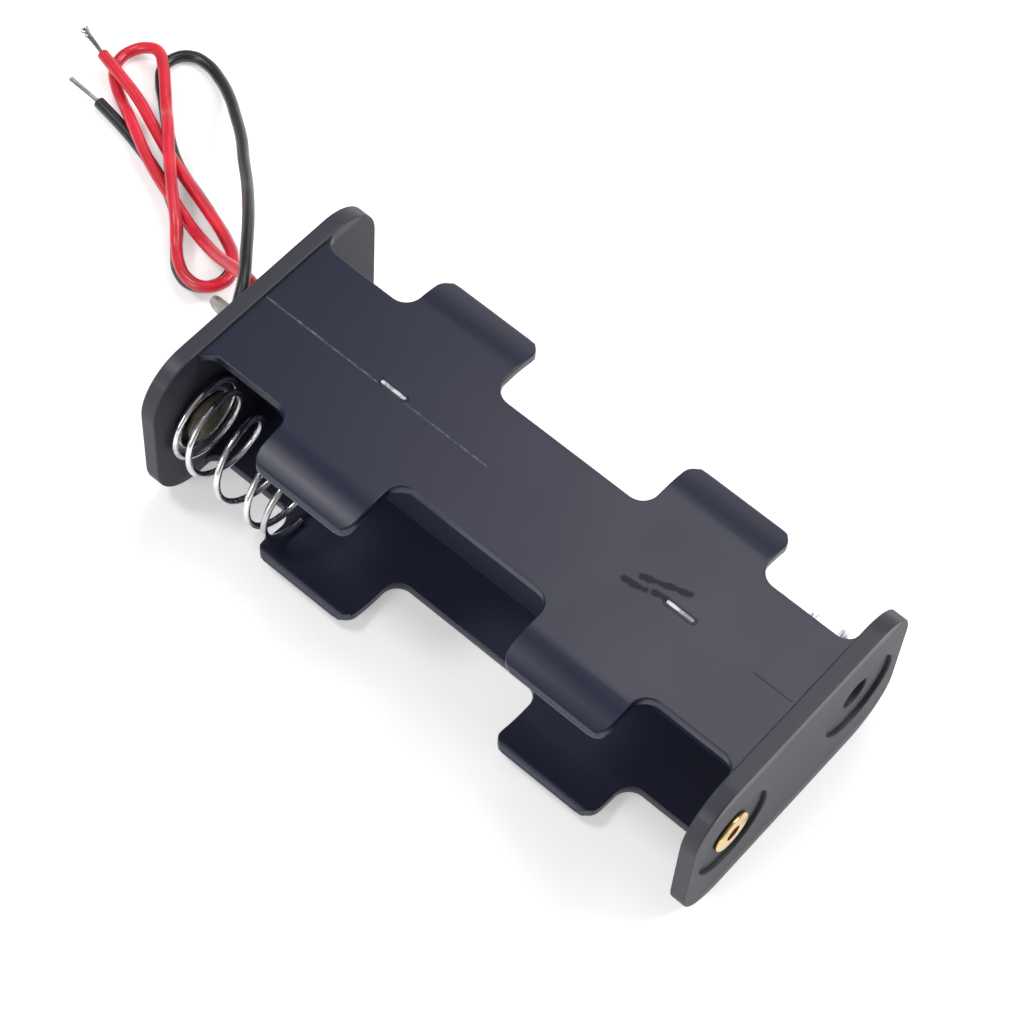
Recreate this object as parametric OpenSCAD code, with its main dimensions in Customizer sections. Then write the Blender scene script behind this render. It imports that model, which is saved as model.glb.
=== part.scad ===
// Holder for two cylindrical cells lying back to back, with two wire leads.
// X runs along the cells, Y across them, Z up. The foot plates stand on z = 0.

/* [Cells] */
// Largest cell diameter
cell_d = 14.5; // [14:0.1:15]
// Cell length from nub to base
cell_len = 50.5; // [49:0.5:52]
// Gap round each cell
cell_gap = 0.1; // [0.05:0.05:0.4]
// Room beyond each cell for a pressed spring and a contact head
end_room = 4.5; // [4:0.25:6]

/* [Moulding] */
// Thickness of each end plate
plate_t = 1.5; // [1.2:0.1:2]
// Width of each end plate
plate_w = 26.6; // [25.5:0.1:28]
// Corner radius of each end plate
plate_corner = 4.8; // [3:0.2:5.5]
// How far the plate edges stand out past the two flanges
plate_lip = 0.4; // [0.2:0.1:1]
// Thickness of the web between the cells
web_t = 1.2; // [1:0.1:1.6]
// Thickness of the flanges and their clips
flange_t = 1; // [0.8:0.1:1.2]
// Flange half width between the clips
middle_y = 5.6; // [5:0.1:6.5]
// Flange half width at the two ends
end_y = 6.9; // [6:0.1:7.5]

/* [Clips] */
// Length of a clip along the cell
clip_len = 10.3; // [8:0.1:13]
// Distance from an end plate to its nearest clip
clip_inset = 9.25; // [7:0.25:10]
// Angle that a clip curls round the cell
clip_angle = 27; // [20:1:34]
// Corner radius of a clip in plan
clip_corner = 1.6; // [1:0.1:2]
// Fillet radius where a clip leaves the flange
clip_fillet = 1.6; // [1:0.1:2]
// Fillet radius where a flange meets an end plate
end_fillet = 1.4; // [1:0.1:1.8]

/* [Contact seats] */
// Hole for a rivet shank
hole_d = 2.9; // [2.6:0.1:3.2]
// Round recess outside each hole
recess_d = 8.2; // [7.5:0.1:9]
// Depth of the recess
recess_depth = 0.4; // [0.3:0.05:0.5]

/* [Rivets] */
// Gap between a rivet shank and its hole, all round
rivet_gap = 0.05; // [0.02:0.01:0.1]
// Diameter of a rivet head
head_d = 4.8; // [4.6:0.1:5.2]
// Height of the flat rim of a rivet head
head_rim = 0.25; // [0.2:0.05:0.4]
// Height of the dome on a rivet head
head_dome = 0.45; // [0.3:0.05:0.7]
// Outside diameter of the rolled rivet end
roll_d = 3.9; // [3.6:0.1:4.2]
// Thickness of the rolled rivet end
roll_t = 0.4; // [0.3:0.05:0.5]
// Bore of the tubular rivet shank
bore_d = 1.5; // [1.2:0.1:1.8]

/* [Springs] */
// Spring wire diameter
wire_d = 0.6; // [0.5:0.05:0.7]
// Coil radius beside the end plate
coil_base_r = 3.7; // [3.6:0.1:4]
// Coil radius at the free end
coil_tip_r = 3.25; // [2.8:0.05:3.5]
// Turns of the coil
coil_turns = 4.9; // [4:0.1:5.5]
// Turns of the flat spiral under the rivet head or tongues
eye_turns = 1.2; // [1:0.1:1.3]
// Turns that lie close together beside the end plate
base_turns = 0.7; // [0.4:0.1:0.8]
// Turns that lie close together at the free end
tip_turns = 0.5; // [0.4:0.1:1]
// Free length of the spring
spring_free = 10.6; // [10:0.1:11.2]
// How far the free end sags
spring_sag = 3.7; // [0:0.1:3.8]
// How far the coil leans outwards
spring_lean = 0.6; // [0:0.1:0.8]

/* [Tags and link] */
// Thickness of the solder tags and the link strip
sheet_t = 0.4; // [0.3:0.05:0.4]
// Width of a solder tag
tag_w = 2.2; // [1.8:0.1:2.4]
// Outside diameter of a tag's eye
tag_eye_d = 5.6; // [5:0.2:6.4]
// How far the negative tag stands out from the end plate
negative_out = 5.6; // [4.8:0.2:6.4]
// How far the positive tag stands out from the end plate
positive_out = 2.8; // [2.4:0.2:3.2]
// Distance of the negative tag's fold from the web plane
negative_fold_y = 0.4; // [0:0.1:2]
// Distance of the positive tag's fold from the web plane
positive_fold_y = 3.2; // [2.5:0.1:4]
// Width of the link strip
link_w = 4; // [3:0.2:5]
// Diameter of the link's discs
link_disc_d = 9; // [8.6:0.2:9.6]
// Width of the tongues that grip the spring
tongue_w = 1.4; // [1:0.1:1.6]
// How far the tongues reach from the spring's axis
tongue_reach = 2.9; // [2.6:0.1:3.2]

/* [Leads] */
// Outside diameter of the lead insulation
lead_d = 1.1; // [1:0.05:1.3]
// Diameter of the tinned strands
core_d = 0.4; // [0.3:0.05:0.5]
// Radius of the solder joints
solder_r = 0.9; // [0.7:0.05:1]
// Radius of the solder where it reaches the insulation
solder_tip_r = 0.45; // [0.4:0.05:0.5]

/* [Hidden] */

inner_r = cell_d / 2 + cell_gap;
cell_y = web_t / 2 + inner_r;
body_len = cell_len + end_room + 2 * plate_t;
plate_h = 2 * (inner_r + flange_t + plate_lip);
axis_z = plate_h / 2;
mid_r = inner_r + flange_t / 2;
clip_tip_y = cell_y + mid_r * sin(clip_angle) + flange_t / 2;
clip_x = plate_t + clip_inset;
slack = 0.15;
shift_x = (body_len - negative_out) / 2;
eps = 0.01;

// Ends and sides of the holder, as contact_axis takes them
left = 0;
right = 1;
near = -1;
far = 1;

// Inner radius of the bend in a solder tag
bend_r = 0.3;
// Gap between two wires that lie close together
wire_play = 0.1;
wire_sides = 8;
rings_per_turn = 20;
// Power of the distance along the coil with which it sags
sag_power = 1.5;
// Angle from the top at which the coil leaves the plate
coil_start = -130;
// Radius at which the spring's flat spiral starts, round a rivet shank
eye_r = hole_d / 2 + slack + wire_d / 2;
// Distance from the spring's axis to the tongues that stand up inside it
tongue_r = eye_r - wire_d / 2 - slack - sheet_t;

lead_sides = 8;
// Heights of a strand on the ground, over one strand and over two
strand_gap = 0.05;
ground_z = lead_d / 2;
crossing_z = ground_z + lead_d + strand_gap;
top_z = crossing_z + lead_d + strand_gap;

// Middle of each solder joint, on the face of its tag
black_joint = [-3, negative_fold_y + sheet_t, axis_z];
red_joint = [-1.6, positive_fold_y, 8];

// Route of the black lead from its solder joint, drawn before the holder is centred
black_route = [
    [-3.6, 1.8, 9], [-4.8, 3.8, 9.4], [-6.8, 6.2, 9.2], [-8.8, 8.5, 8.5], [-11, 10.8, 7.4],
    [-13.4, 13.1, 5.9], [-15.9, 15.3, 4.5], [-18.3, 17.5, 3.3], [-20.8, 19.4, 2.2], [-23.4, 21.2, 1.3],
    [-25.8, 22.4, 0.7], [-27.8, 22.9, ground_z], [-29.4, 22.6, ground_z], [-30.4, 21.4, ground_z],
    [-30.4, 19.8, ground_z], [-29.4, 18.5, ground_z], [-27.8, 17.2, ground_z], [-26.1, 15.8, ground_z],
    [-24.3, 14.4, ground_z], [-22.4, 13.2, ground_z], [-20.2, 12.3, ground_z], [-17.8, 11.6, ground_z],
    [-15.4, 10.8, ground_z], [-13, 9.9, ground_z], [-11.2, 8.8, ground_z], [-10.3, 7.2, ground_z],
    [-10.6, 5.5, ground_z], [-12, 4.4, ground_z], [-13.7, 4.6, ground_z], [-15.3, 5.9, ground_z],
    [-17.1, 7.9, ground_z], [-18.9, 9.3, ground_z], [-21, 10.4, ground_z], [-23.4, 11.3, ground_z],
    [-25.9, 12, ground_z], [-28.7, 12.6, ground_z], [-31.9, 13.1, ground_z]
];
black_tip = [[-31.9, 13.1, ground_z], [-35.7, 13.3, ground_z]];

// Route of the red lead from its solder joint
red_route = [
    [-2.8, 3.9, 8], [-4.8, 4.7, 7.7], [-7.6, 5.5, 6.2], [-10.3, 6.3, 4.3], [-13, 7.3, 2.7],
    [-15.8, 8.3, crossing_z], [-18.6, 9.2, crossing_z], [-21.4, 10.1, crossing_z], [-24.1, 11.2, crossing_z],
    [-26.5, 12.4, crossing_z], [-28.5, 13.5, 1.3], [-30.5, 14.6, ground_z], [-32.1, 15.5, ground_z],
    [-33.4, 16.6, ground_z], [-34, 17.9, ground_z], [-33.8, 19.2, 0.7], [-32.7, 20.2, 1.2],
    [-31.3, 20.3, crossing_z], [-30, 19.5, crossing_z], [-28.2, 17.9, crossing_z], [-26.3, 16.1, crossing_z],
    [-24.4, 14.4, 2.75], [-21.7, 11.8, top_z], [-18.8, 9.2, top_z], [-16.8, 7.5, 2.5],
    [-15.2, 5.9, crossing_z], [-13.7, 4.7, crossing_z], [-12.2, 4.1, crossing_z], [-10.7, 4.3, crossing_z],
    [-9.7, 5.4, crossing_z], [-9.6, 6.9, crossing_z], [-10.7, 8.3, crossing_z], [-12.9, 9.5, crossing_z],
    [-16.1, 10.6, crossing_z], [-19.4, 11.6, crossing_z], [-22.7, 12.7, crossing_z], [-26, 14, crossing_z],
    [-29, 15.2, crossing_z], [-32, 16, crossing_z], [-34.9, 16.7, 1.6]
];
red_tip = [[-34.9, 16.7, 1.6], [-38.7, 18, 0.9]];

// Moves the model so that its footprint is centred on the origin.
module placed() {
    translate([-shift_x, 0, 0]) children();
}

// Draws a Y-Z section and pulls it along X.
module along_x(from, to) {
    translate([from, 0, 0])
        rotate([90, 0, 90])
            linear_extrude(to - from) children();
}

// Keeps the shape and adds its mirror image across the web plane.
module both_sides() {
    children();
    mirror([0, 1, 0]) children();
}

// Keeps the shape and adds its mirror image across the middle of the length.
module both_ends() {
    children();
    translate([body_len, 0]) mirror([1, 0, 0]) children();
}

// Turns the holder end for end about its vertical middle line.
module turned() {
    translate([body_len, 0, 0]) rotate([0, 0, 180]) children();
}

// Puts local Z on a contact's axis, with z = 0 on the plate's outer face and +Z out of the holder.
module contact_axis(end, side) {
    translate([end * body_len, side * cell_y, axis_z])
        rotate([0, end == left ? -90 : 90, 0]) children();
}

// A square corner with a hollow quarter circle, drawn towards +X and +Y.
module corner_fillet(r) {
    difference() {
        translate([-eps, -eps]) square(r + eps);
        translate([r, r]) circle(r, $fn = 48);
    }
}

module rounded_rectangle(width, height, r) {
    translate([-width / 2, r]) square([width, height - 2 * r]);
    translate([-width / 2 + r, 0]) square([width - 2 * r, height]);
    for (side = [-1, 1], level = [r, height - r])
        translate([side * (width / 2 - r), level]) circle(r, $fn = 64);
}

// One quarter of a flange seen from above.
module flange_quarter() {
    clip_end = clip_x + clip_len;
    square([body_len / 2, middle_y]);
    square([clip_x + eps, end_y]);
    translate([clip_x, 0]) square([clip_len, clip_tip_y - clip_corner]);
    translate([clip_x + clip_corner, 0]) square([clip_len - 2 * clip_corner, clip_tip_y + eps]);
    for (x = [clip_x + clip_corner, clip_end - clip_corner])
        translate([x, clip_tip_y - clip_corner]) circle(clip_corner, $fn = 48);
    translate([clip_end, middle_y]) corner_fillet(clip_fillet);
    translate([clip_x, end_y]) mirror([1, 0]) corner_fillet(clip_fillet);
    translate([plate_t, end_y]) corner_fillet(end_fillet);
}

// The flange's section: flat over the web, curled round the cells at both sides.
module flange_section() {
    translate([-cell_y, axis_z + inner_r]) square([2 * cell_y, flange_t]);
    for (side = [0, 1]) mirror([side, 0]) translate([cell_y, axis_z]) {
        intersection() {
            difference() {
                circle(inner_r + flange_t, $fn = 160);
                circle(inner_r, $fn = 160);
            }
            polygon([[0, 0], [0, 2 * inner_r], [2 * inner_r * sin(clip_angle), 2 * inner_r * cos(clip_angle)]]);
        }
        rotate(-clip_angle) translate([0, mid_r]) circle(flange_t / 2, $fn = 32);
    }
}

module flange() {
    intersection() {
        along_x(eps, body_len - eps) flange_section();
        linear_extrude(plate_h)
            both_sides() both_ends() flange_quarter();
    }
}

module end_plates() {
    for (x = [0, body_len - plate_t])
        along_x(x, x + plate_t) rounded_rectangle(plate_w, plate_h, plate_corner);
}

// Body without its holes.
module body_blank() {
    end_plates();
    along_x(plate_t / 2, body_len - plate_t / 2)
        translate([-web_t / 2, axis_z - inner_r - flange_t / 2])
            square([web_t, 2 * inner_r + flange_t]);
    flange();
    translate([0, 0, plate_h]) mirror([0, 0, 1]) flange();
}

// Rivet hole through an end plate, with the round recess outside it.
module contact_seat() {
    translate([0, 0, -plate_t - eps]) cylinder(h = plate_t + 2 * eps, d = hole_d, $fn = 48);
    translate([0, 0, -recess_depth]) cylinder(h = recess_depth + eps, d = recess_d, $fn = 96);
}

// Channel outside the left plate in which a tag runs from its eye to its fold.
module tag_channel(fold_y) {
    along_x(-eps, recess_depth)
        translate([-cell_y, axis_z - tag_w / 2 - slack])
            square([cell_y + fold_y + sheet_t + slack, tag_w + 2 * slack]);
}

// Slot through the web for the link strip.
module link_slot() {
    along_x(body_len - plate_t - sheet_t - slack, body_len - plate_t)
        translate([-web_t, axis_z - link_w / 2 - slack])
            square([2 * web_t, link_w + 2 * slack]);
}

module holder_body() {
    color("#26283a") placed()
        difference() {
            body_blank();
            for (end = [left, right], side = [near, far])
                contact_axis(end, side) contact_seat();
            tag_channel(negative_fold_y);
            mirror([0, 1, 0]) tag_channel(-positive_fold_y);
            link_slot();
        }
}

// Tubular rivet with a domed head inside the holder and a rolled end outside.
// The head bears on what lies inner_stack deep on the plate, the roll on the sheet in the recess.
module rivet(inner_stack, outer_stack) {
    head_z = -plate_t - inner_stack;
    roll_z = outer_stack - recess_depth;
    head_r = head_d / 2;
    dome_r = (head_r * head_r + head_dome * head_dome) / (2 * head_dome);
    rotate_extrude($fn = 64)
        difference() {
            union() {
                translate([0, head_z - head_rim]) square([head_r, head_rim]);
                intersection() {
                    translate([0, head_z - head_rim - head_dome + dome_r]) circle(dome_r, $fn = 160);
                    translate([0, head_z - head_rim - head_dome]) square([head_r, head_dome + eps]);
                }
                translate([0, head_z]) square([hole_d / 2 - rivet_gap, roll_z - head_z]);
                translate([0, roll_z]) square([(roll_d - roll_t) / 2, roll_t]);
                translate([(roll_d - roll_t) / 2, roll_z + roll_t / 2]) circle(roll_t / 2, $fn = 32);
            }
            translate([-eps, head_z + roll_t]) square([bore_d / 2 + eps, roll_z - head_z + roll_t]);
        }
}

module negative_rivet() {
    color("#c9a24e") placed()
        contact_axis(left, near) rivet(wire_d, sheet_t);
}

module positive_rivet() {
    color("#c9a24e") placed()
        contact_axis(left, far) rivet(0, sheet_t);
}

module link_rivet() {
    color("#c9a24e") placed()
        contact_axis(right, near) rivet(sheet_t, 0);
}

// Solder tag for the near side: an eye under the rivet and a strip that folds out of the plate.
module tag(fold_y, out) {
    inner_x = recess_depth - sheet_t;
    bend_x = inner_x - bend_r;
    bend_y = fold_y - bend_r;
    along_x(inner_x, recess_depth)
        translate([-cell_y, axis_z])
            difference() {
                union() {
                    circle(d = tag_eye_d, $fn = 64);
                    translate([0, -tag_w / 2]) square([cell_y + bend_y, tag_w]);
                }
                circle(d = hole_d, $fn = 48);
            }
    translate([bend_x, bend_y, axis_z])
        rotate_extrude(angle = 90, $fn = 48)
            translate([bend_r, -tag_w / 2]) square([sheet_t, tag_w]);
    translate([0, fold_y + sheet_t, axis_z])
        rotate([90, 0, 0])
            linear_extrude(sheet_t) {
                translate([-out + tag_w / 2, -tag_w / 2]) square([out - tag_w / 2 + bend_x, tag_w]);
                translate([-out + tag_w / 2, 0]) circle(d = tag_w, $fn = 48);
            }
}

module negative_tag() {
    color("#b9b4b0") placed() tag(negative_fold_y, negative_out);
}

module positive_tag() {
    color("#b9b4b0") placed() mirror([0, 1, 0]) tag(-positive_fold_y, positive_out);
}

// Tongue that stands up inside the spring's eye and folds over its wire.
module tongue() {
    translate([tongue_r, -tongue_w / 2, 0]) cube([sheet_t, tongue_w, sheet_t + wire_d + sheet_t]);
    translate([tongue_r, -tongue_w / 2, sheet_t + wire_d]) cube([tongue_reach - tongue_r, tongue_w, sheet_t]);
}

// Link between the two cells: a disc for each, and the strip that joins them through the web.
module link_strip() {
    color("#c4c0ba") placed() {
        along_x(body_len - plate_t - sheet_t, body_len - plate_t)
            translate([0, axis_z])
                difference() {
                    union() {
                        for (side = [near, far])
                            translate([side * cell_y, 0]) circle(d = link_disc_d, $fn = 96);
                        translate([-cell_y, -link_w / 2]) square([2 * cell_y, link_w]);
                    }
                    translate([near * cell_y, 0]) circle(d = hole_d, $fn = 48);
                    translate([far * cell_y, 0]) circle(r = tongue_r, $fn = 48);
                }
        contact_axis(right, far)
            translate([0, 0, -plate_t])
                for (turn = [0, 180]) mirror([0, 0, 1]) rotate(turn) tongue();
    }
}

// Eases from 0 to 1 with level ends.
function eased(u) = u * u * (3 - 2 * u);

function unit(v) = v / norm(v);

// Corners of a ring across a path. Its flats, not its corners, lie at the radius.
function ring(at, along, up, radius, sides) =
    let (across = unit(cross(along, up)))
    let (above = cross(across, along))
    let (corner_r = radius / cos(180 / sides))
    [for (i = [0 : sides - 1])
        let (angle = (i + 0.5) * 360 / sides)
        at + corner_r * (cos(angle) * across + sin(angle) * above)];

// Direction of a path at one of its points.
function direction(path, i) = unit(path[min(i + 1, len(path) - 1)] - path[max(i - 1, 0)]);

// A closed tube along a path. The up direction must never lie along the path.
module tube(path, radius, sides, up) {
    last = len(path) - 1;
    corners = [for (i = [0 : last]) each ring(path[i], direction(path, i), up, radius, sides)];
    walls = [for (i = [0 : last - 1], k = [0 : sides - 1])
        let (next = (k + 1) % sides)
        let (a = i * sides)
        each [[a + k, a + sides + k, a + next], [a + next, a + sides + k, a + sides + next]]];
    first_end = [for (k = [0 : sides - 1]) k];
    last_end = [for (k = [0 : sides - 1]) last * sides + sides - 1 - k];
    polyhedron(corners, concat(walls, [first_end, last_end]));
}

// Centre of the spring's wire. Turns below 0 lie in the flat spiral, the others climb off the plate.
function spring_point(turn, seat) =
    let (climb = max(turn, 0))
    let (opened = eased(max(0, min(1, (climb - base_turns) / (coil_turns - tip_turns - base_turns)))))
    let (pitch = wire_d + wire_play)
    let (x = wire_d / 2 + pitch * climb + (spring_free - wire_d - pitch * coil_turns) * opened)
    let (part = climb / coil_turns)
    let (r = turn < 0 ? coil_base_r + (coil_base_r - eye_r) * turn / eye_turns
                      : coil_base_r + (coil_tip_r - coil_base_r) * part)
    let (angle = coil_start + 360 * turn)
    let (y = -cell_y - spring_lean * sin(180 * part) - r * sin(angle))
    [plate_t + seat + x, y, axis_z - spring_sag * pow(part, sag_power) + r * cos(angle)];

// Contact spring for the near cell at the left plate, on a seat of the given thickness.
module spring(seat) {
    rings = round((eye_turns + coil_turns) * rings_per_turn);
    tube([for (i = [0 : rings]) spring_point(i / rings_per_turn - eye_turns, seat)], wire_d / 2, wire_sides, [1, 0, 0]);
}

module negative_spring() {
    color("#d4d4d8") placed() spring(0);
}

module link_spring() {
    color("#d4d4d8") placed() turned() spring(sheet_t);
}

// Solder that joins a lead to its tag: a blob that runs out along the strands.
module solder_joint(from, to) {
    run = to - from;
    translate(from)
        rotate([0, acos(run.z / norm(run)), atan2(run.y, run.x)]) {
            sphere(solder_r, $fn = 48);
            cylinder(h = norm(run), r1 = solder_r - slack, r2 = solder_tip_r, $fn = 48);
        }
}

// Keeps what lies on the far side of a tag's outer face.
module beyond(face_y) {
    intersection() {
        children();
        translate([-body_len, face_y, -plate_h]) cube([2 * body_len, body_len, 3 * plate_h]);
    }
}

module black_solder() {
    color("#c8c8cc") placed()
        beyond(black_joint.y) solder_joint(black_joint, black_route[0]);
}

module red_solder() {
    color("#c8c8cc") placed()
        beyond(red_joint.y) solder_joint(red_joint, red_route[0]);
}

module black_lead() {
    color("#2b2b30") placed() tube(black_route, lead_d / 2, lead_sides, [0, 0, 1]);
}

module black_lead_core() {
    color("#c8c8cc") placed() tube(black_tip, core_d / 2, lead_sides, [0, 0, 1]);
}

module red_lead() {
    color("#e22840") placed() tube(red_route, lead_d / 2, lead_sides, [0, 0, 1]);
}

module red_lead_core() {
    color("#c8c8cc") placed() tube(red_tip, core_d / 2, lead_sides, [0, 0, 1]);
}

holder_body();
negative_spring();
negative_rivet();
negative_tag();
positive_rivet();
positive_tag();
link_strip();
link_rivet();
link_spring();
black_solder();
red_solder();
black_lead();
black_lead_core();
red_lead();
red_lead_core();
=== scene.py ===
import math

import bmesh
import bpy
from mathutils import Matrix, Vector


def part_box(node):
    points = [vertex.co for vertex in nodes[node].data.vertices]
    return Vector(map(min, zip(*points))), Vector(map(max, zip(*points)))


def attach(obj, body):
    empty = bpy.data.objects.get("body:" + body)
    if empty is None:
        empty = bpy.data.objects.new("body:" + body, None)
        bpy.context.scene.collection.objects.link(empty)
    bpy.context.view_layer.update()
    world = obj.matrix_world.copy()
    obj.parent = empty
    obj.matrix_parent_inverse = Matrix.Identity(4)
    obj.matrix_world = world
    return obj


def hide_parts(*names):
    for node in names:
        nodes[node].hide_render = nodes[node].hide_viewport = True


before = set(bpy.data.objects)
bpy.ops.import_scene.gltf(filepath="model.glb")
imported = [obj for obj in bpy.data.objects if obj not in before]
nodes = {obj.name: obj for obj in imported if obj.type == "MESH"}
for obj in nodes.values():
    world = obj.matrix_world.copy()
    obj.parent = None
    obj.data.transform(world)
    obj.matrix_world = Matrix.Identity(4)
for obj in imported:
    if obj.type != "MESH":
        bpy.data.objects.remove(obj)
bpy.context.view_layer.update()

mm = 0.001
scene = bpy.context.scene
scene.view_settings.view_transform = "Standard"

bodyLow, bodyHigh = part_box("holder_body")
leftFace = round(bodyLow.x / mm, 3)       # mm, outside of each end plate
rightFace = round(bodyHigh.x / mm, 3)
middleX = (leftFace + rightFace) / 2
axisZ = round((bodyLow.z + bodyHigh.z) / 2 / mm, 3)   # height of both cells' axes


def toMetres(point):
    return Vector(point) * mm


def addObject(name, data):
    piece = bpy.data.objects.new(name, data)
    scene.collection.objects.link(piece)
    return piece


def dress(piece, finish, replaced):
    piece.data.materials.append(finish)
    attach(piece, "root")
    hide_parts(replaced)


# A node's output, so that shader maths reads as plain sums.
class Sock:
    def __init__(self, finish, socket):
        self.finish = finish
        self.socket = socket

    def maths(self, operation, *values):
        return self.finish.node("ShaderNodeMath", {"operation": operation}, dict(enumerate(values)))

    def __add__(self, other):
        return self.maths("ADD", self, other)

    def __radd__(self, other):
        return self.maths("ADD", other, self)

    def __sub__(self, other):
        return self.maths("SUBTRACT", self, other)

    def __rsub__(self, other):
        return self.maths("SUBTRACT", other, self)

    def __mul__(self, other):
        return self.maths("MULTIPLY", self, other)

    def __rmul__(self, other):
        return self.maths("MULTIPLY", other, self)

    def __truediv__(self, other):
        return self.maths("DIVIDE", self, other)

    def __rtruediv__(self, other):
        return self.maths("DIVIDE", other, self)

    def __abs__(self):
        return self.maths("ABSOLUTE", self)


# One material and its nodes.
class Finish:
    def __init__(self, name):
        self.material = bpy.data.materials.new(name)
        self.material.use_nodes = True
        self.tree = self.material.node_tree
        self.tree.nodes.clear()

    # Adds a node: its settings first, then the values or links of its sockets.
    def node(self, kind, settings=None, inputs=None, output=0):
        node = self.tree.nodes.new(kind)
        for key, value in (settings or {}).items():
            setattr(node, key, value)
        for key, value in (inputs or {}).items():
            if isinstance(value, Sock):
                self.tree.links.new(value.socket, node.inputs[key])
            else:
                node.inputs[key].default_value = value
        if node.outputs:
            return Sock(self, node.outputs[output])

    # Fades from 0 to 1 as a value goes from low to high.
    def fade(self, value, low, high):
        settings = {"interpolation_type": "SMOOTHSTEP"}
        return self.node("ShaderNodeMapRange", settings, {0: value, 1: low, 2: high})

    def clamp(self, value):
        return self.node("ShaderNodeClamp", inputs={"Value": value})

    def vector(self, operation, *values, output=0):
        inputs = dict(enumerate(values))
        return self.node("ShaderNodeVectorMath", {"operation": operation}, inputs, output)

    def place(self):
        return self.node("ShaderNodeTexCoord", output="Object")

    def along(self, axis):
        return self.node("ShaderNodeSeparateXYZ", inputs={0: self.place()}, output="XYZ".index(axis))

    # Distance, seen from above, to a straight line between two places in mm.
    def fromLine(self, start, end):
        start, end = toMetres((*start, 0)), toMetres((*end, 0))
        span = end - start
        flat = self.vector("MULTIPLY", self.place(), (1, 1, 0))
        offset = self.vector("SUBTRACT", flat, start)
        share = self.vector("DOT_PRODUCT", offset, span, output="Value") / span.length_squared
        inputs = {0: span, "Scale": self.clamp(share)}
        nearest = self.node("ShaderNodeVectorMath", {"operation": "SCALE"}, inputs)
        return self.vector("DISTANCE", offset, nearest, output="Value")

    # Scale is in waves per metre.
    def noise(self, scale, detail=2, roughness=0.5):
        inputs = {"Vector": self.place(), "Scale": scale, "Detail": detail, "Roughness": roughness}
        return self.node("ShaderNodeTexNoise", inputs=inputs)

    def mixColour(self, share, first, second):
        return self.node("ShaderNodeMix", {"data_type": "RGBA"}, {0: share, 6: first, 7: second}, 2)

    # Distance is in mm.
    def bump(self, height, strength, distance, normal=None):
        inputs = {"Height": height, "Strength": strength, "Distance": distance * mm}
        if normal:
            inputs["Normal"] = normal
        return self.node("ShaderNodeBump", inputs=inputs)

    def surface(self, inputs):
        shader = self.node("ShaderNodeBsdfPrincipled", inputs=inputs)
        self.node("ShaderNodeOutputMaterial", inputs={"Surface": shader})
        return self.material


cameraSettings = {
    "place": (77.08, -102.36, 230.32),   # mm
    "azimuth": 36.26,                    # degrees, 0 looks along +Y
    "elevation": 59.68,
    "roll": 5.43,
    "lens": 110.96,
    "sensor": 36,
    "clipStart": 0.01,                   # metres
}


def addCamera(settings):
    camera = addObject("camera", bpy.data.cameras.new("camera"))
    camera.data.lens = settings["lens"]
    camera.data.sensor_width = settings["sensor"]
    camera.data.clip_start = settings["clipStart"]
    turn = Matrix.Rotation(math.radians(settings["azimuth"]), 4, "Z")
    tilt = Matrix.Rotation(math.radians(90 - settings["elevation"]), 4, "X")
    roll = Matrix.Rotation(math.radians(settings["roll"]), 4, "Z")
    camera.matrix_world = Matrix.Translation(toMetres(settings["place"])) @ turn @ tilt @ roll
    scene.camera = camera


addCamera(cameraSettings)
print("camera set")

insulationSettings = {
    "red": (0.78, 0.016, 0.042, 1),
    "deepRed": (0.60, 0.009, 0.028, 1),
    "black": (0.012, 0.012, 0.016, 1),
    "deepBlack": (0.007, 0.007, 0.010, 1),
    "mottleNoise": (350, 3),             # waves per metre, detail
    "mottleFade": (0.35, 0.7),
    "roughness": 0.3,
    "roughnessPlay": 0.14,
    "roughnessNoise": (900, 2),
    "coat": 0.25,
    "coatRoughness": 0.2,
    "skinNoise": (2600, 2),
    "skinStrength": 0.12,
    "skinDepth": 0.05,                   # mm
}


def insulationFinish(name, base, deep, settings):
    paint = Finish(name)
    mottle = paint.fade(paint.noise(*settings["mottleNoise"]), *settings["mottleFade"])
    worn = paint.noise(*settings["roughnessNoise"])
    skin = paint.noise(*settings["skinNoise"])
    return paint.surface({
        "Base Color": paint.mixColour(mottle, settings[deep], settings[base]),
        "Roughness": settings["roughness"] + settings["roughnessPlay"] * worn,
        "Coat Weight": settings["coat"],
        "Coat Roughness": settings["coatRoughness"],
        "Normal": paint.bump(skin, settings["skinStrength"], settings["skinDepth"]),
    })


# Each metal: clean colour, dulled colour, roughness, waves of its grain per metre.
metalSettings = {
    "tinnedStrands": ((0.34, 0.33, 0.32, 1), (0.16, 0.15, 0.14, 1), 0.3, 4000),
    "springNickel": ((0.78, 0.78, 0.80, 1), (0.52, 0.52, 0.54, 1), 0.16, 1500),
    "rivetBrass": ((0.85, 0.58, 0.22, 1), (0.50, 0.32, 0.12, 1), 0.18, 2500),
    "dulledBrass": ((0.26, 0.22, 0.16, 1), (0.16, 0.13, 0.10, 1), 0.45, 2500),
    "contactSheet": ((0.42, 0.40, 0.38, 1), (0.26, 0.24, 0.22, 1), 0.32, 1800),
    "solder": ((0.52, 0.52, 0.53, 1), (0.32, 0.31, 0.30, 1), 0.25, 900),
    "patchNoise": (600, 4),              # waves per metre, detail
    "patchFade": (0.4, 0.7),
    "patchRougher": 0.2,
    "grainDetail": 3,
    "grainStrength": 0.2,
    "grainDepth": 0.02,                  # mm
}


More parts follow.
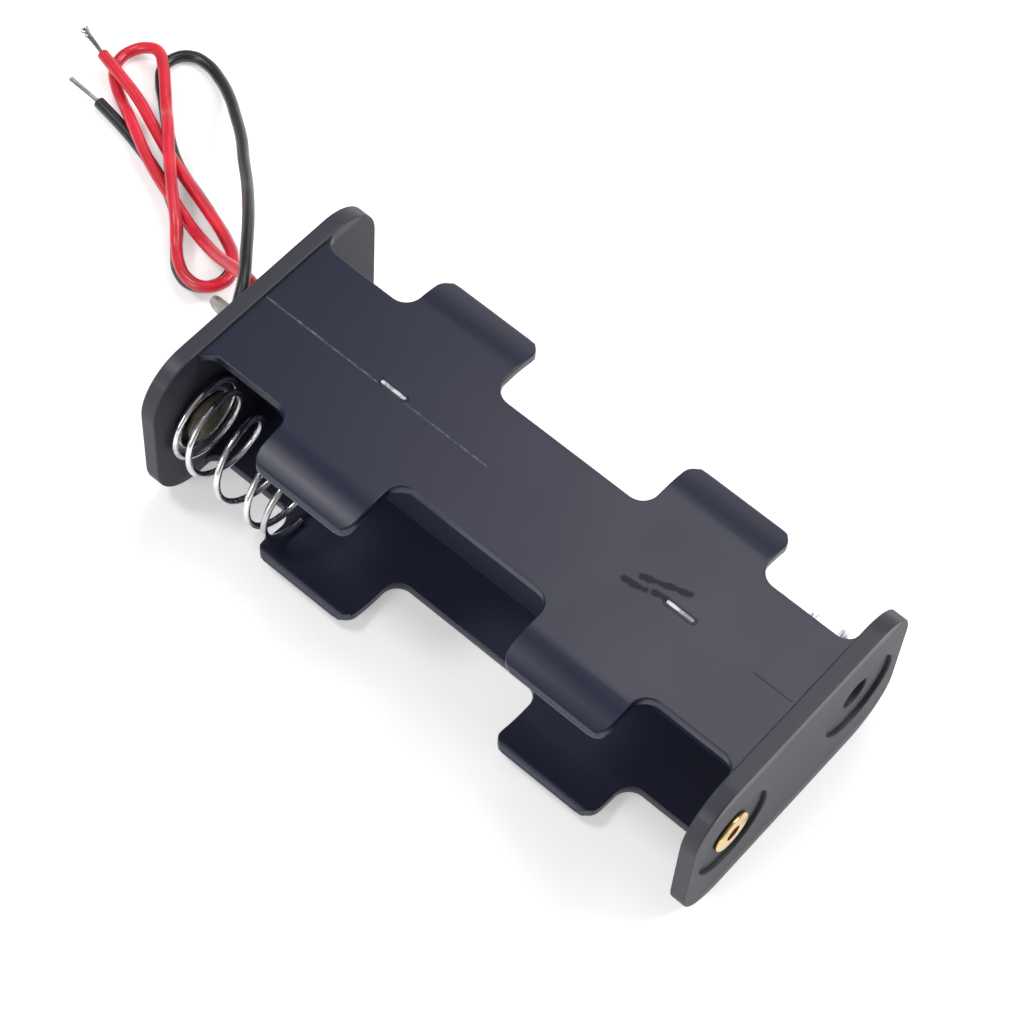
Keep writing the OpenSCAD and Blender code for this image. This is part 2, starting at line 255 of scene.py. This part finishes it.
def metalFinish(name, settings):
    base, dull, roughness, grainScale = settings[name]
    paint = Finish(name)
    patch = paint.fade(paint.noise(*settings["patchNoise"]), *settings["patchFade"])
    grain = paint.noise(grainScale, settings["grainDetail"])
    return paint.surface({
        "Base Color": paint.mixColour(patch, base, dull),
        "Metallic": 1.0,
        "Roughness": roughness + settings["patchRougher"] * patch,
        "Normal": paint.bump(grain, settings["grainStrength"], settings["grainDepth"]),
    })


leadSettings = {
    "diameter": 1.1,       # mm, over the insulation
    "coreDiameter": 0.4,
    "ground": 0.55,        # height of a strand's middle on the floor
    "crossing": 1.7,       # over one strand
    "top": 2.85,           # over two strands
    "strandCount": 7,
    "strandDiameter": 0.15,
    "strandSteps": 24,
    "strandTurns": 1.1,    # twist over the bared end
    "strandInside": 0.1,   # start inside the insulation, as a share of the bared end
    "strandUneven": 0.04,  # how much shorter a strand can be, as a share
    "blackSplay": 0.3,     # how far the strands spread at the tip
    "redSplay": 1.6,
}
ground = leadSettings["ground"]
crossing = leadSettings["crossing"]
top = leadSettings["top"]

# Routes run in mm from the outside of the left plate.
blackRoute = [
    (-3.6, 1.8, 9), (-4.8, 3.8, 9.4), (-6.8, 6.2, 9.2), (-8.8, 8.5, 8.5), (-11, 10.8, 7.4),
    (-13.4, 13.1, 5.9), (-15.9, 15.3, 4.5), (-18.3, 17.5, 3.3), (-20.8, 19.4, 2.2), (-23.4, 21.2, 1.3),
    (-25.8, 22.4, 0.7), (-27.8, 22.9, ground), (-29.4, 22.6, ground), (-30.4, 21.4, ground),
    (-30.4, 19.8, ground), (-29.4, 18.5, ground), (-27.8, 17.2, ground), (-26.1, 15.8, ground),
    (-24.3, 14.4, ground), (-22.4, 13.2, ground), (-20.2, 12.3, ground), (-17.8, 11.6, ground),
    (-15.4, 10.8, ground), (-13, 9.9, ground), (-11.2, 8.8, ground), (-10.3, 7.2, ground),
    (-10.6, 5.5, ground), (-12, 4.4, ground), (-13.7, 4.6, ground), (-15.3, 5.9, ground),
    (-17.1, 7.9, ground), (-18.9, 9.3, ground), (-21, 10.4, ground), (-23.4, 11.3, ground),
    (-25.9, 12, ground), (-28.7, 12.6, ground), (-31.9, 13.1, ground),
]
blackTip = [(-31.9, 13.1, ground), (-35.7, 13.3, ground)]

redRoute = [
    (-2.8, 3.9, 8), (-4.8, 4.7, 7.7), (-7.6, 5.5, 6.2), (-10.3, 6.3, 4.3), (-13, 7.3, 2.7),
    (-15.8, 8.3, crossing), (-18.6, 9.2, crossing), (-21.4, 10.1, crossing), (-24.1, 11.2, crossing),
    (-26.5, 12.4, crossing), (-28.5, 13.5, 1.3), (-30.5, 14.6, ground), (-32.1, 15.5, ground),
    (-33.4, 16.6, ground), (-34, 17.9, ground), (-33.8, 19.2, 0.7), (-32.7, 20.2, 1.2),
    (-31.3, 20.3, crossing), (-30, 19.5, crossing), (-28.2, 17.9, crossing), (-26.3, 16.1, crossing),
    (-24.4, 14.4, 2.75), (-21.7, 11.8, top), (-18.8, 9.2, top), (-16.8, 7.5, 2.5),
    (-15.2, 5.9, crossing), (-13.7, 4.7, crossing), (-12.2, 4.1, crossing), (-10.7, 4.3, crossing),
    (-9.7, 5.4, crossing), (-9.6, 6.9, crossing), (-10.7, 8.3, crossing), (-12.9, 9.5, crossing),
    (-16.1, 10.6, crossing), (-19.4, 11.6, crossing), (-22.7, 12.7, crossing), (-26, 14, crossing),
    (-29, 15.2, crossing), (-32, 16, crossing), (-34.9, 16.7, 1.6),
]
redTip = [(-34.9, 16.7, 1.6), (-38.7, 18, 0.9)]

curveSettings = {
    "roundSteps": 5,       # Blender's bevel resolution
    "pathSteps": 8,        # between two points of a smooth curve
}


def inPart(route):
    shift = Vector((leftFace, 0, 0))
    return [(Vector(point) + shift) * mm for point in route]


def addCurve(name, lines, diameter, smooth, settings=curveSettings):
    data = bpy.data.curves.new(name, "CURVE")
    data.dimensions = "3D"
    data.bevel_depth = diameter / 2 * mm
    data.bevel_resolution = settings["roundSteps"]
    data.resolution_u = settings["pathSteps"]
    data.use_fill_caps = True
    for line in lines:
        spline = data.splines.new("BEZIER" if smooth else "POLY")
        points = spline.bezier_points if smooth else spline.points
        points.add(len(line) - 1)
        for point, place in zip(points, line):
            if smooth:
                point.co = place
                point.handle_left_type = point.handle_right_type = "AUTO"
            else:
                point.co = (*place, 1)
    return addObject(name, data)


# Tinned strands twisted round a straight one. They spread and end unevenly towards the tip.
def addTip(name, tip, splay, settings):
    start, end = inPart(tip)
    along = end - start    # the middle strand's own line
    across = along.cross(Vector((0, 0, 1))).normalized()
    above = across.cross(along).normalized()
    origin = start - along * settings["strandInside"]
    full = 1 + settings["strandInside"]
    steps = settings["strandSteps"]
    around = settings["strandCount"] - 1
    ringRadius = (settings["coreDiameter"] - settings["strandDiameter"]) / 2 * mm
    lines = [[origin + along * full * i / steps for i in range(steps + 1)]]
    for strand in range(around):
        length = full - settings["strandUneven"] * (strand * 5 % 7) / 7 * splay
        spread = splay * (1 + 0.5 * math.sin(5 * strand))
        line = []
        for i in range(steps + 1):
            part = i / steps
            angle = math.tau * (strand / around + settings["strandTurns"] * part)
            reach = ringRadius * (1 + spread * part ** 3)
            sideways = math.cos(angle) * across + math.sin(angle) * above
            line.append(origin + along * length * part + reach * sideways)
        lines.append(line)
    return addCurve(name, lines, settings["strandDiameter"], False)


def addLead(name, route, tip, splay, finish):
    points = inPart(route)
    lead = addCurve(name + "_cord", [points], leadSettings["diameter"], True)
    dress(lead, finish, name)
    strands = addTip(name + "_strands", tip, splay, leadSettings)
    dress(strands, strandsFinish, name + "_core")


redFinish = insulationFinish("redInsulation", "red", "deepRed", insulationSettings)
blackFinish = insulationFinish("blackInsulation", "black", "deepBlack", insulationSettings)
strandsFinish = metalFinish("tinnedStrands", metalSettings)
addLead("black_lead", blackRoute, blackTip, leadSettings["blackSplay"], blackFinish)
addLead("red_lead", redRoute, redTip, leadSettings["redSplay"], redFinish)
print("leads laid")

holderSettings = {
    "plate": 1.5,          # mm, thickness of an end plate
    "cellY": 7.95,         # from the web's middle to a cell's axis
    "linkSheet": 0.4,      # thickness of the link strip, under the far spring
}

springSettings = {
    "wire": 0.6,           # mm
    "play": 0.1,           # between turns that lie close
    "baseRadius": 3.7,
    "tipRadius": 3.25,
    "eyeRadius": 1.9,      # of the flat spiral's inner end
    "turns": 4.9,
    "eyeTurns": 1.2,       # in the flat spiral
    "baseTurns": 0.7,      # lying close at the base, then at the tip
    "tipTurns": 0.5,
    "length": 10.6,
    "sag": 3.7,            # of the free end under its own weight
    "sagPower": 1.5,
    "lean": 0.6,
    "start": -130,         # degrees from the top
    "stepsPerTurn": 48,
}


def eased(u):
    u = max(0, min(1, u))
    return u * u * (3 - 2 * u)


# Middle of the wire. Turns below 0 lie in the flat spiral, the others climb off the plate.
def springPoint(turn, seat, settings):
    base, wire, turns = settings["baseRadius"], settings["wire"], settings["turns"]
    climb = max(turn, 0)
    part = climb / turns
    openTurns = turns - settings["tipTurns"] - settings["baseTurns"]
    opened = eased((climb - settings["baseTurns"]) / openTurns)
    pitch = wire + settings["play"]
    rise = pitch * climb + (settings["length"] - wire - pitch * turns) * opened
    if turn < 0:
        radius = base + (base - settings["eyeRadius"]) * turn / settings["eyeTurns"]
    else:
        radius = base + (settings["tipRadius"] - base) * part
    angle = math.radians(settings["start"] + 360 * turn)
    lean = settings["lean"] * math.sin(math.pi * part)
    sag = settings["sag"] * part ** settings["sagPower"]
    return Vector((
        leftFace + holderSettings["plate"] + seat + wire / 2 + rise,
        -holderSettings["cellY"] - lean - radius * math.sin(angle),
        axisZ - sag + radius * math.cos(angle),
    ))


def addSpring(name, seat, turnedRound, settings):
    count = round((settings["turns"] + settings["eyeTurns"]) * settings["stepsPerTurn"])
    line = []
    for i in range(count + 1):
        point = springPoint(i / settings["stepsPerTurn"] - settings["eyeTurns"], seat, settings)
        if turnedRound:
            point = Vector((2 * middleX - point.x, -point.y, point.z))
        line.append(point * mm)
    spring = addCurve(name + "_wire", [line], settings["wire"], False)
    dress(spring, springFinish, name)


springFinish = metalFinish("springNickel", metalSettings)
addSpring("negative_spring", 0, False, springSettings)
addSpring("link_spring", holderSettings["linkSheet"], True, springSettings)
print("springs wound")

contactFinishes = {
    "rivetBrass": ["link_rivet"],
    "dulledBrass": ["negative_rivet", "positive_rivet"],
    "contactSheet": ["negative_tag", "positive_tag", "link_strip"],
    "solder": ["black_solder", "red_solder"],
}
for finishName, contacts in contactFinishes.items():
    finish = metalFinish(finishName, metalSettings)
    for contact in contacts:
        for slot in nodes[contact].material_slots:
            slot.material = finish
print("contacts finished")

bodySettings = {
    "merge": 0.012,        # mm, closer corners become one
    "flatWithin": 0.6,     # degrees, flatter neighbours become one face
    "edge": 0.15,          # mm, width of the rounding along each edge
    "edgeSteps": 3,
    "sharpFrom": 35,       # degrees
}


# An outer edge with room for a rounding: no edge beside its ends is shorter than the rounding is wide.
def canRound(edge, settings):
    if not (edge.is_manifold and edge.is_convex):
        return False
    if edge.calc_face_angle() < math.radians(settings["sharpFrom"]):
        return False
    room = settings["edge"] * mm
    return all(beside.calc_length() > room for end in edge.verts for beside in end.link_edges)


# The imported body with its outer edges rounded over.
def addBody(settings):
    shape = bmesh.new()
    shape.from_mesh(nodes["holder_body"].data)
    bmesh.ops.remove_doubles(shape, verts=shape.verts, dist=settings["merge"] * mm)
    flatWithin = math.radians(settings["flatWithin"])
    bmesh.ops.dissolve_limit(shape, angle_limit=flatWithin, verts=shape.verts, edges=shape.edges)
    rounded = shape.edges.layers.float.new("bevel_weight_edge")
    for face in shape.faces:
        face.smooth = True
    for edge in shape.edges:
        roundable = canRound(edge, settings)
        edge[rounded] = roundable
        edge.smooth = roundable or edge.calc_face_angle(0) < math.radians(settings["sharpFrom"])
    data = bpy.data.meshes.new("holder_body_moulding")
    shape.to_mesh(data)
    shape.free()
    body = addObject("holder_body_moulding", data)
    bevel = body.modifiers.new("edges", "BEVEL")
    bevel.width = settings["edge"] * mm
    bevel.segments = settings["edgeSteps"]
    bevel.limit_method = "WEIGHT"
    bevel.use_clamp_overlap = False
    weigh = body.modifiers.new("flat faces", "WEIGHTED_NORMAL")
    weigh.mode = "FACE_AREA_WITH_ANGLE"
    weigh.keep_sharp = True
    return body


plasticSettings = {
    "dark": (0.0040, 0.0053, 0.025, 1),      # flanges and clips drift between these two
    "light": (0.0080, 0.0096, 0.029, 1),
    "driftNoise": (45, 2),                   # waves per metre, detail
    # painted light: a paler colour for the bay walls, lifting the shade inside the bays
    "bay": (0.030, 0.033, 0.062, 1),
    "bayInset": 1.35,                        # mm, from the outside of a flange to a bay's wall
    "bayFade": 0.06,
    "plate": (0.027, 0.028, 0.040, 1),
    "plateFade": 0.02,
    "roughness": 0.28,
    "roughnessPlay": 0.08,
    "roughnessNoise": (130, 2),
    "plateRougher": 0.10,
    "bayRougher": 0.12,
    "specular": 0.4,
    "grainNoise": (1800, 3),
    "grainStrength": 0.05,
    "plateGrain": 0.20,                      # added on the end plates
    "grainDepth": 0.03,                      # mm
    "swellNoise": (60, 2),
    "swellStrength": 0.22,
    "swellDepth": 0.25,
}

barLines = [((-12.2, 0.3), (-9.9, 0.3)), ((17.5, 0.3), (19.9, 0.3))]
# painted shade in the grooves, and a painted dark reflection on the dark patch
paintedShadeAndReflection = (0.003, 0.0035, 0.006, 1)

# Marks on the upper flange, in mm. Each is whole up to the first reach from its lines and gone at the second.
markSettings = {
    "lowest": 16.9,                          # mm, height above which the marks show
    "lowestFade": 0.1,
    # breaks the painted highlights of the witness line and bars into patches
    "highlightPatchNoise": (700, 4, 0.7),
    "highlightPatchFade": (0.46, 0.60),
    "waverNoise": (1100, 3),
    "marks": [
        {   # witness line: a low ridge, its pale colour a painted highlight
            "lines": [((-24.6, 0), (-0.5, 0))], "reach": (0.03, 0.11), "relief": 0.02,
            "colour": (0.17, 0.17, 0.23, 1), "solid": 0.10, "patchyHighlight": 0.60,
        },
        {   # raised bars, their pale colour a painted highlight
            "lines": barLines, "reach": (0.13, 0.21), "relief": 0.12,
            "colour": (0.62, 0.62, 0.66, 1), "solid": 0.35, "patchyHighlight": 0.65,
        },
        {   # grooves round the bars, darkened with painted shade
            "lines": barLines, "offset": 0.31, "reach": (0.04, 0.12), "relief": -0.05,
            "colour": paintedShadeAndReflection, "solid": 0.8,
        },
        {   # thin groove by the right plate, darkened with painted shade
            "lines": [((26.3, 0), (29.9, 0))], "reach": (0.03, 0.09), "relief": -0.04,
            "colour": paintedShadeAndReflection, "solid": 0.8,
        },
        {   # dark patch, rougher than the rest; its dark colour is a painted dark reflection
            "lines": [((13.6, -0.4), (15.4, -0.2)), ((14.6, 0.7), (16.6, 1.4)),
                      ((16.6, 1.4), (18.4, 2.0)), ((16.3, 0.2), (17.0, 0.3))],
            "reach": (0.15, 0.375), "waver": 0.7, "rougher": 0.30,
            "colour": paintedShadeAndReflection, "solid": 0.85,
        },
    ],
}


def bodyFinish(plastic, marking):
    paint = Finish("bodyPlastic")
    height = paint.along("Z")
    length = paint.along("X")

    # The end plates are grained. The walls of the bays are duller than the outside, and paler as painted
    # light that lifts their shade.
    plateFace = (rightFace - leftFace) / 2 - holderSettings["plate"]
    plate = paint.fade(abs(length - middleX * mm), (plateFace - plastic["plateFade"]) * mm, plateFace * mm)
    bayFace = axisZ - plastic["bayInset"]
    bay = 1 - paint.fade(abs(height - axisZ * mm), bayFace * mm, (bayFace + plastic["bayFade"]) * mm)
    drift = paint.noise(*plastic["driftNoise"])
    colour = paint.mixColour(drift, plastic["dark"], plastic["light"])
    # painted light: the paler colour lifts the shade on the bay walls
    colour = paint.mixColour(bay, colour, plastic["bay"])
    colour = paint.mixColour(plate, colour, plastic["plate"])
    rough = plastic["roughness"] + plastic["roughnessPlay"] * paint.noise(*plastic["roughnessNoise"])
    rough = rough + plastic["plateRougher"] * plate + plastic["bayRougher"] * bay

    lowest = marking["lowest"]
    above = paint.fade(height, lowest * mm, (lowest + marking["lowestFade"]) * mm)
    highlightPatches = paint.fade(paint.noise(*marking["highlightPatchNoise"]), *marking["highlightPatchFade"])
    waver = (paint.noise(*marking["waverNoise"]) - 0.5) * mm
    relief = 0
    for mark in marking["marks"]:
        near, far = mark["reach"]
        shape = 0
        for line in mark["lines"]:
            distance = abs(paint.fromLine(*line) - mark.get("offset", 0) * mm)
            distance = distance + mark.get("waver", 0) * waver
            shape = shape + (1 - paint.fade(distance, near * mm, far * mm))
        shape = paint.clamp(shape) * above
        # the painted highlights show in patches
        share = mark["solid"] + mark.get("patchyHighlight", 0) * highlightPatches
        # mixes in the marks' colours: painted highlights, painted shade in the grooves and a painted dark
        # reflection
        colour = paint.mixColour(shape * share, colour, mark["colour"])
        rough = rough + mark.get("rougher", 0) * shape
        relief = relief + mark.get("relief", 0) * shape

    grain = plastic["grainStrength"] + plastic["plateGrain"] * plate
    normal = paint.bump(relief, 1.0, 1.0)    # relief is in mm
    normal = paint.bump(paint.noise(*plastic["grainNoise"]), grain, plastic["grainDepth"], normal)
    swell = paint.noise(*plastic["swellNoise"])
    return paint.surface({
        "Base Color": colour,
        "Roughness": rough,
        "Specular IOR Level": plastic["specular"],
        "Normal": paint.bump(swell, plastic["swellStrength"], plastic["swellDepth"], normal),
    })


dress(addBody(bodySettings), bodyFinish(plasticSettings, markSettings), "holder_body")
print("body finished")

stageSettings = {
    "floor": 1.6,          # metres along each side
    "floorColour": (0.93, 0.93, 0.93, 1),
    "floorRoughness": 0.9,
    "floorLift": 0.34,     # glow that the lamps' light doesn't give
    "world": 0.30,
    "lamps": {             # place and size in metres, watts
        "key": ((0.34, 0.36, 0.50), 0.30, 2.6),
        "sheen": ((-0.095, 0.30, 0.62), 0.28, 0.85),
        "clipSheen": ((-0.31, -0.155, 0.61), 0.16, 1.2),
        "farSheen": ((-0.18, 0.48, 0.20), 0.32, 0.28),
        "front": ((-0.15, -0.62, 0.30), 0.40, 1.9),
    },
}


# White paper that shows the same to the camera and in the metal, and keeps the shadow.
def addFloor(settings):
    half = settings["floor"] / 2
    data = bpy.data.meshes.new("floor")
    corners = [(-half, -half, 0), (half, -half, 0), (half, half, 0), (-half, half, 0)]
    data.from_pydata(corners, [], [(0, 1, 2, 3)])
    floor = addObject("floor", data)
    paint = Finish("floorPaper")
    seen = paint.node("ShaderNodeLightPath", output="Is Camera Ray")
    seen = seen + paint.node("ShaderNodeLightPath", output="Is Glossy Ray")
    seen = seen + paint.node("ShaderNodeLightPath", output="Is Transmission Ray")
    lift = settings["floorLift"]
    data.materials.append(paint.surface({
        "Base Color": settings["floorColour"],
        "Roughness": settings["floorRoughness"],
        "Emission Color": paint.mixColour(seen, (0, 0, 0, 1), (lift, lift, lift, 1)),
        "Emission Strength": 1.0,
    }))


def addLight(name, place, size, watts):
    data = bpy.data.lights.new(name, "AREA")
    data.shape = "DISK"
    data.size = size
    data.energy = watts
    light = addObject(name, data)
    light.location = place
    light.rotation_euler = (-light.location).to_track_quat("-Z", "Y").to_euler()


def addWorld(settings):
    world = bpy.data.worlds.new("studio")
    world.use_nodes = True
    scene.world = world
    background = world.node_tree.nodes["Background"]
    background.inputs["Color"].default_value = (1, 1, 1, 1)
    background.inputs["Strength"].default_value = settings["world"]


addFloor(stageSettings)
addWorld(stageSettings)
for lampName, lamp in stageSettings["lamps"].items():
    addLight(lampName, *lamp)
print("studio lit")
